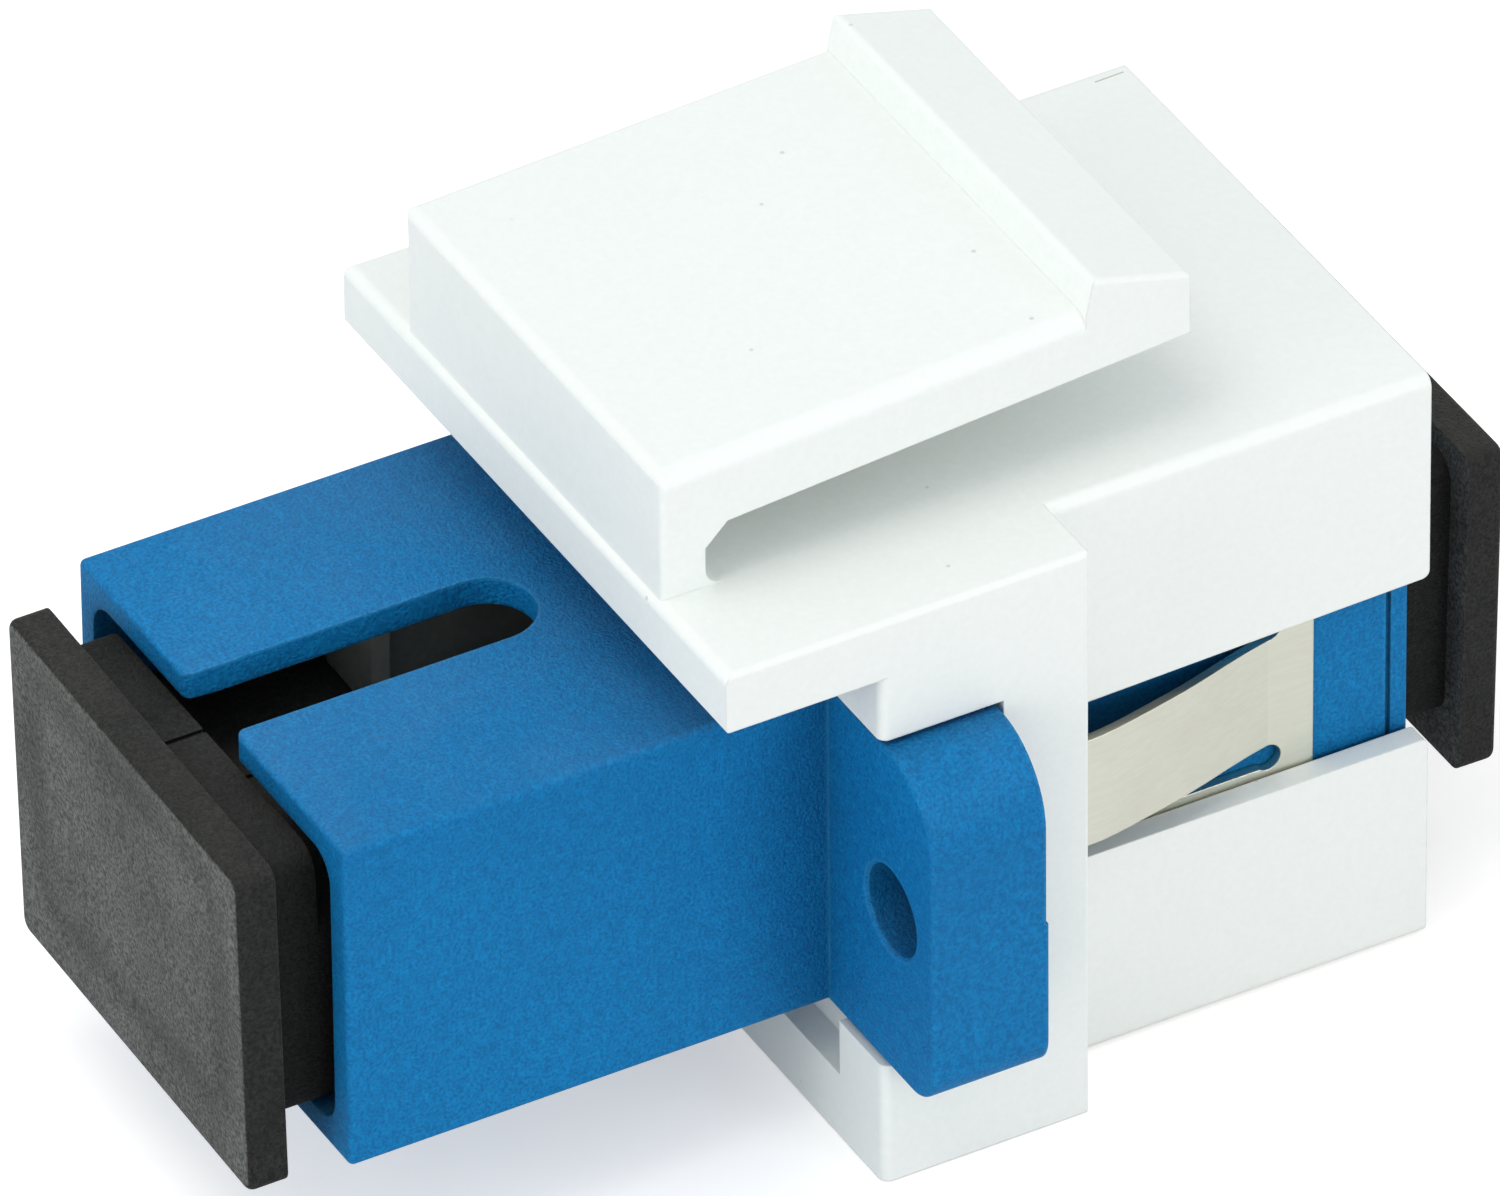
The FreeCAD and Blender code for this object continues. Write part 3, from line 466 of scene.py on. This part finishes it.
def stepped_cap(name, node, body, side, settings):
    """A cap whose hollow plug steps down just inside the port, cut from a copy of its solid.

    The plug's outside steps at the port's edge. The ceiling of its hollow steps one wall
    further out, so the plug keeps its wall at the step. Side is 1 at the front, -1 at the rear.
    """
    piece = bpy.data.objects.new(name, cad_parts[node].data.copy())
    bpy.context.scene.collection.objects.link(piece)
    bpy.ops.object.select_all(action="DESELECT")
    piece.select_set(True)
    bpy.context.view_layer.objects.active = piece
    low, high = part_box("adapter_housing")
    outer_step = (high if side > 0 else low)[1]
    inner_step = outer_step + side * settings.plug_wall
    bpy.ops.object.mode_set(mode="EDIT")
    bpy.ops.mesh.select_all(action="SELECT")
    bpy.ops.mesh.remove_doubles(threshold=SAME_PLACE)
    for place in (outer_step, inner_step):
        for setback in (0.0, STEP_SLOPE):
            bpy.ops.mesh.select_all(action="SELECT")
            bpy.ops.mesh.bisect(plane_co=(0, place - side * setback, 0), plane_no=(0, 1, 0),
                                threshold=CUT_TOLERANCE)
    bpy.ops.mesh.select_all(action="DESELECT")
    mesh = bmesh.from_edit_mesh(piece.data)
    for vertex in mesh.verts:
        x, y, z = vertex.co
        hollow = abs(x) < PLUG_HOLLOW_HALF and z < PLUG_HOLLOW_TOP
        start = (inner_step if hollow else outer_step) - side * STEP_SLOPE
        upper = z > settings.plug_step / 2
        vertex.select = upper and (y - start) * side < SAME_PLACE
    mesh.select_flush_mode()
    bmesh.update_edit_mesh(piece.data)
    bpy.ops.transform.translate(value=(0, 0, -settings.plug_step))
    bpy.ops.mesh.customdata_custom_splitnormals_clear()
    bpy.ops.object.mode_set(mode="OBJECT")
    bpy.ops.object.shade_smooth_by_angle(angle=SMOOTH_ANGLE)
    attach(piece, body)
    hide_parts(node)
    return piece


def dress(node, material):
    """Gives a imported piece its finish."""
    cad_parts[node].data.materials[0] = material


# --- settings --------------------------------------------------------------------------
def colour_property(name, description, default):
    return FloatVectorProperty(name=name, description=description, subtype="COLOR",
                               size=3, min=0.0, max=1.0, default=default)


class AdapterFinishSettings(bpy.types.PropertyGroup):
    """Colours of the object's finishes, and the step in the caps' plugs."""
    carrier_white: colour_property("Carrier White", "Keystone carrier's plastic",
                                   (0.845, 0.868, 0.85))
    carrier_shade: colour_property("Carrier Shade", "Darker tone in the white plastic",
                                   (0.76, 0.80, 0.785))
    housing_blue: colour_property("Housing Blue", "Adapter housing's plastic",
                                  (0.005, 0.232, 0.545))
    housing_shade: colour_property("Housing Shade", "Darker tone in the blue plastic",
                                   (0.003, 0.10, 0.29))
    # Lighter blue of the edges: rubbing wear and a painted highlight.
    housing_wear_and_highlight: colour_property("Housing Wear And Highlight", "Blue plastic's edges",
                                    (0.035, 0.29, 0.60))
    cap_black: colour_property("Cap Black", "Dust caps' plastic", (0.030, 0.032, 0.030))
    cap_shade: colour_property("Cap Shade", "Darker tone in the caps", (0.003, 0.003, 0.003))
    # Lighter black of the caps' edges: rubbing wear and a painted highlight.
    cap_wear_and_highlight: colour_property("Cap Wear And Highlight", "Caps' edges", (0.05, 0.054, 0.05))
    clip_steel: colour_property("Clip Steel", "Retaining clip's sheet metal",
                                (0.74, 0.755, 0.67))
    insert_ivory: colour_property("Insert Ivory", "Latch inserts' plastic",
                                  (0.78, 0.77, 0.70))
    sleeve_white: colour_property("Sleeve White", "Split sleeve's ceramic",
                                  (0.86, 0.85, 0.80))
    plug_step: FloatProperty(name="Plug Step", description="Plug's top below its collar",
                             subtype="DISTANCE", unit="LENGTH", default=1.8 * MM)
    plug_wall: FloatProperty(name="Plug Wall", description="Thickness of a plug's walls",
                             subtype="DISTANCE", unit="LENGTH", default=0.9 * MM)


class AdapterStageSettings(bpy.types.PropertyGroup):
    """Camera and lights."""
    azimuth: FloatProperty(name="Azimuth", description="Camera's turn from straight behind",
                           subtype="ANGLE", default=math.radians(61.14))
    elevation: FloatProperty(name="Elevation", description="Camera's height above level",
                             subtype="ANGLE", default=math.radians(37.08))
    roll: FloatProperty(name="Roll", description="Camera's lean", subtype="ANGLE",
                        default=math.radians(-0.577))
    distance: FloatProperty(name="Distance", description="Camera to its target",
                            subtype="DISTANCE", unit="LENGTH", default=0.5854)
    lens: FloatProperty(name="Lens", description="Focal length in millimetres",
                        default=596.5)
    target_height: FloatProperty(name="Target Height", description="Above the fibre's axis",
                                 subtype="DISTANCE", unit="LENGTH", default=2.337 * MM)
    target_along: FloatProperty(name="Target Along", description="Along the fibre's axis",
                                subtype="DISTANCE", unit="LENGTH", default=0.11 * MM)
    world_light: FloatProperty(name="World Light", description="Even light from all round",
                               default=0.79)
    key_power: FloatProperty(name="Key Power", description="Soft lamp overhead, in watts",
                             default=0.38)
    side_power: FloatProperty(name="Side Power", description="Soft lamp at the side, in watts",
                              default=0.45)
    rear_power: FloatProperty(name="Rear Power", description="Soft lamp behind, in watts",
                              default=0.50)


def finish_settings():
    return bpy.context.scene.adapter_finish


def stage_settings():
    return bpy.context.scene.adapter_stage


# --- operators: finishes ---------------------------------------------------------------
class ADAPTER_OT_carrier(bpy.types.Operator):
    """Finishes the white keystone carrier"""
    bl_idname = "adapter.carrier"
    bl_label = "Keystone Carrier"

    def execute(self, context):
        settings = finish_settings()
        # The carrier's lighter edges are rubbing wear and a painted highlight.
        material, graph, shader, position = moulded_plastic(
            "carrier_plastic", settings.carrier_white, settings.carrier_shade, CARRIER_WEAR_AND_HIGHLIGHT,
            toning=0.2, roughness=0.5, specular=0.4, grain=5200.0, depth=0.006 * MM)
        specks = graph.group("specks", Position=position, Spacing_Scale=SPECK_SCALE,
                             Size=SPECK_SIZE, Rarity=SPECK_RARITY)
        relayer(graph, shader.inputs["Base Color"],
                graph.math("MULTIPLY", specks["Specks"], SPECK_STRENGTH), rgb(SPECK_BROWN))
        relayer(graph, shader.inputs["Base Color"],
                graph.math("MULTIPLY", hair_mark(graph, position), HAIR_STRENGTH),
                rgb(HAIR_BROWN))
        dress("keystone_carrier", material)
        return {"FINISHED"}


class ADAPTER_OT_housing(bpy.types.Operator):
    """Finishes the blue adapter housing"""
    bl_idname = "adapter.housing"
    bl_label = "Adapter Housing"

    def execute(self, context):
        settings = finish_settings()
        # Painted shade in corners and gaps, a painted highlight along the edges and a painted
        # sheen with the dust on the top.
        material, *_ = moulded_plastic(
            "housing_plastic", settings.housing_blue, settings.housing_shade,
            settings.housing_wear_and_highlight, toning=0.35, roughness=0.55, specular=0.1, grain=GRAIN,
            depth=0.07 * MM, edge=0.15 * MM, painted_shade_amount=0.5, pitting=0.75, dust_and_sheen=0.03)
        dress("adapter_housing", material)
        return {"FINISHED"}


class ADAPTER_OT_dust_caps(bpy.types.Operator):
    """Finishes the two black dust caps"""
    bl_idname = "adapter.dust_caps"
    bl_label = "Dust Caps"

    def execute(self, context):
        settings = finish_settings()
        material = cap_plastic(settings)
        for name, node, body, side in (
                ("front_cap_moulding", "front_dust_cap", "front_cap", 1),
                ("rear_cap_moulding", "rear_dust_cap", "rear_cap", -1)):
            dress(node, material)
            stepped_cap(name, node, body, side, settings).data.materials[0] = material
        return {"FINISHED"}


class ADAPTER_OT_clip(bpy.types.Operator):
    """Finishes the steel retaining clip"""
    bl_idname = "adapter.clip"
    bl_label = "Retaining Clip"

    def execute(self, context):
        material, graph, shader, position = new_finish("clip_metal")
        colour = rgb(finish_settings().clip_steel)
        lines = graph.noise(graph.stretched(position, (1.0, 0.08, 1.0)), 9000.0)
        smudges = graph.noise(position, 700.0)
        sheet = graph.mix(graph.remap(lines, 0.35, 0.65, 0.0, 0.16), colour, rgb(STEEL_LINES))
        sheet = graph.mix(graph.remap(smudges, 0.4, 0.65, 0.0, 0.14), sheet,
                          rgb(STEEL_SMUDGES))
        sheared = graph.remap(graph.math("ABSOLUTE", graph.facing()[0]), 0.75, 0.55)
        edges = graph.group("wear_and_highlight_edge", Position=position, Width=0.04 * MM)
        graph.feed(graph.mix(sheared, sheet, rgb(STEEL_SHEARED)), shader.inputs["Base Color"])
        worn = graph.math("MAXIMUM", edges["Edge"], sheared)
        graph.feed(graph.math("SUBTRACT", graph.remap(lines, 0.3, 0.7, 0.40, 0.52),
                              graph.math("MULTIPLY", worn, 0.14)),
                   shader.inputs["Roughness"])
        shader.inputs["Metallic"].default_value = 1.0
        graph.feed(graph.bump(lines, 0.003 * MM, edges["Normal"]), shader.inputs["Normal"])
        dress("retaining_clip", material)
        return {"FINISHED"}


class ADAPTER_OT_inner_parts(bpy.types.Operator):
    """Finishes the latch inserts and the split sleeve"""
    bl_idname = "adapter.inner_parts"
    bl_label = "Inner Parts"

    def execute(self, context):
        settings = finish_settings()
        # Painted shade almost to black over a long reach, so that the inserts read dark inside the
        # adapter, and a painted highlight with the wear on their edges.
        insert, *_ = moulded_plastic(
            "insert_plastic", settings.insert_ivory, INSERT_SHADE, INSERT_WEAR_AND_HIGHLIGHT, toning=0.2,
            roughness=0.45, specular=0.4, grain=5000.0, depth=0.006 * MM, painted_shade_amount=0.92,
            reach=4.0 * MM)
        dress("front_latch_insert", insert)
        dress("rear_latch_insert", insert)
        # The sleeve's lighter edges are rubbing wear and a painted highlight.
        sleeve, *_ = moulded_plastic(
            "sleeve_ceramic", settings.sleeve_white, SLEEVE_SHADE, SLEEVE_WEAR_AND_HIGHLIGHT, toning=0.1,
            roughness=0.2, specular=0.5, grain=9000.0, depth=0.001 * MM)
        dress("alignment_sleeve", sleeve)
        return {"FINISHED"}


class ADAPTER_OT_stage(bpy.types.Operator):
    """Places the camera, lamps and floor"""
    bl_idname = "adapter.stage"
    bl_label = "Stage"

    def execute(self, context):
        settings = stage_settings()
        place_camera(settings)
        place_lamps(settings)
        place_floor()
        light_world(settings)
        context.scene.view_settings.view_transform = "Standard"
        return {"FINISHED"}


# --- stage -----------------------------------------------------------------------------
def place_camera(settings):
    """The camera at its angle, distance and lean, looking at its target."""
    azimuth, elevation, roll = settings.azimuth, settings.elevation, settings.roll
    back = Vector((math.sin(azimuth) * math.cos(elevation),
                   -math.cos(azimuth) * math.cos(elevation), math.sin(elevation)))
    right = Vector((math.cos(azimuth), math.sin(azimuth), 0.0))
    up = back.cross(right)
    leaned_right = right * math.cos(roll) + up * math.sin(roll)
    leaned_up = up * math.cos(roll) - right * math.sin(roll)
    target = Vector((0.0, settings.target_along, settings.target_height))
    data = bpy.data.cameras.new("main_camera")
    data.lens = settings.lens
    data.sensor_width = 36.0
    data.clip_start = 0.01
    camera = bpy.data.objects.new("main_camera", data)
    turn = Matrix((leaned_right, leaned_up, back)).transposed().to_4x4()
    camera.matrix_world = Matrix.Translation(target + back * settings.distance) @ turn
    bpy.context.scene.collection.objects.link(camera)
    bpy.context.scene.camera = camera


def soft_lamp(name, place, size, colour, power):
    """A round lamp that faces the middle of the object."""
    data = bpy.data.lights.new(name, "AREA")
    data.color = colour
    data.shape = "DISK"
    data.size = size
    data.energy = power
    lamp = bpy.data.objects.new(name, data)
    lamp.location = place
    aim = Vector(LAMP_TARGET) - Vector(place)
    lamp.rotation_euler = aim.to_track_quat("-Z", "Y").to_euler()
    bpy.context.scene.collection.objects.link(lamp)


def place_lamps(settings):
    soft_lamp("key_lamp", KEY_PLACE, KEY_SIZE, KEY_COLOUR, settings.key_power)
    soft_lamp("side_lamp", SIDE_PLACE, SIDE_SIZE, SIDE_COLOUR, settings.side_power)
    soft_lamp("rear_lamp", REAR_PLACE, REAR_SIZE, REAR_COLOUR, settings.rear_power)


def place_floor():
    """A flat pale floor, white where the camera sees it bare."""
    low = CAD_BOX[0][2] - FLOOR_GAP
    bpy.ops.object.select_all(action="DESELECT")
    bpy.ops.mesh.primitive_plane_add(size=FLOOR_SIZE, location=(0, 0, low))
    floor = bpy.context.active_object
    floor.name = "floor"
    material, graph, shader, position = new_finish("floor_paper")
    fibres = graph.remap(graph.noise(position, 900.0, 4.0, 0.6), 0.3, 0.7, 0.97, 1.0)
    seen = graph.add("ShaderNodeLightPath").outputs["Is Camera Ray"]
    graph.feed(graph.mix(fibres, rgb(BLACK), rgb(FLOOR_COLOUR)), shader.inputs["Base Color"])
    shader.inputs["Emission Color"].default_value = rgb(WHITE)
    graph.feed(graph.math("MULTIPLY", seen, FLOOR_GLOW), shader.inputs["Emission Strength"])
    shader.inputs["Roughness"].default_value = 0.9
    shader.inputs["Specular IOR Level"].default_value = 0.2
    floor.data.materials.append(material)


def light_world(settings):
    """Even light on the object, and plain white for the camera and in what reflects."""
    world = bpy.data.worlds.new("studio")
    world.use_nodes = True
    graph = Graph(world.node_tree)
    background = world.node_tree.nodes["Background"]
    path = graph.add("ShaderNodeLightPath")
    seen = graph.math("MAXIMUM", path.outputs["Is Camera Ray"],
                      graph.math("MAXIMUM", path.outputs["Is Glossy Ray"],
                                 path.outputs["Is Transmission Ray"]))
    graph.feed(graph.mix(seen, rgb(WORLD_TINT), rgb(WHITE)), background.inputs["Color"])
    graph.feed(graph.remap(seen, 0.0, 1.0, settings.world_light, 1.0),
               background.inputs["Strength"])
    bpy.context.scene.world = world


# --- panel and registration ------------------------------------------------------------
OPERATORS = (ADAPTER_OT_carrier, ADAPTER_OT_housing, ADAPTER_OT_dust_caps, ADAPTER_OT_clip,
             ADAPTER_OT_inner_parts, ADAPTER_OT_stage)


class ADAPTER_PT_panel(bpy.types.Panel):
    """Lists the adapter's finishes and its stage"""
    bl_idname = "ADAPTER_PT_panel"
    bl_label = "Fibre Adapter"
    bl_space_type = "VIEW_3D"
    bl_region_type = "UI"
    bl_category = "Adapter"

    def draw(self, context):
        for operator in OPERATORS:
            self.layout.operator(operator.bl_idname)
        for settings in (context.scene.adapter_finish, context.scene.adapter_stage):
            for name in settings.__annotations__:
                self.layout.prop(settings, name)


CLASSES = (AdapterFinishSettings, AdapterStageSettings, *OPERATORS, ADAPTER_PT_panel)


def register():
    for cls in CLASSES:
        bpy.utils.register_class(cls)
    bpy.types.Scene.adapter_finish = PointerProperty(type=AdapterFinishSettings)
    bpy.types.Scene.adapter_stage = PointerProperty(type=AdapterStageSettings)


def unregister():
    del bpy.types.Scene.adapter_stage
    del bpy.types.Scene.adapter_finish
    for cls in reversed(CLASSES):
        bpy.utils.unregister_class(cls)


def main():
    register()
    bpy.ops.adapter.carrier()
    bpy.ops.adapter.housing()
    bpy.ops.adapter.dust_caps()
    bpy.ops.adapter.clip()
    bpy.ops.adapter.inner_parts()
    bpy.ops.adapter.stage()


if __name__ == "__main__":
    main()
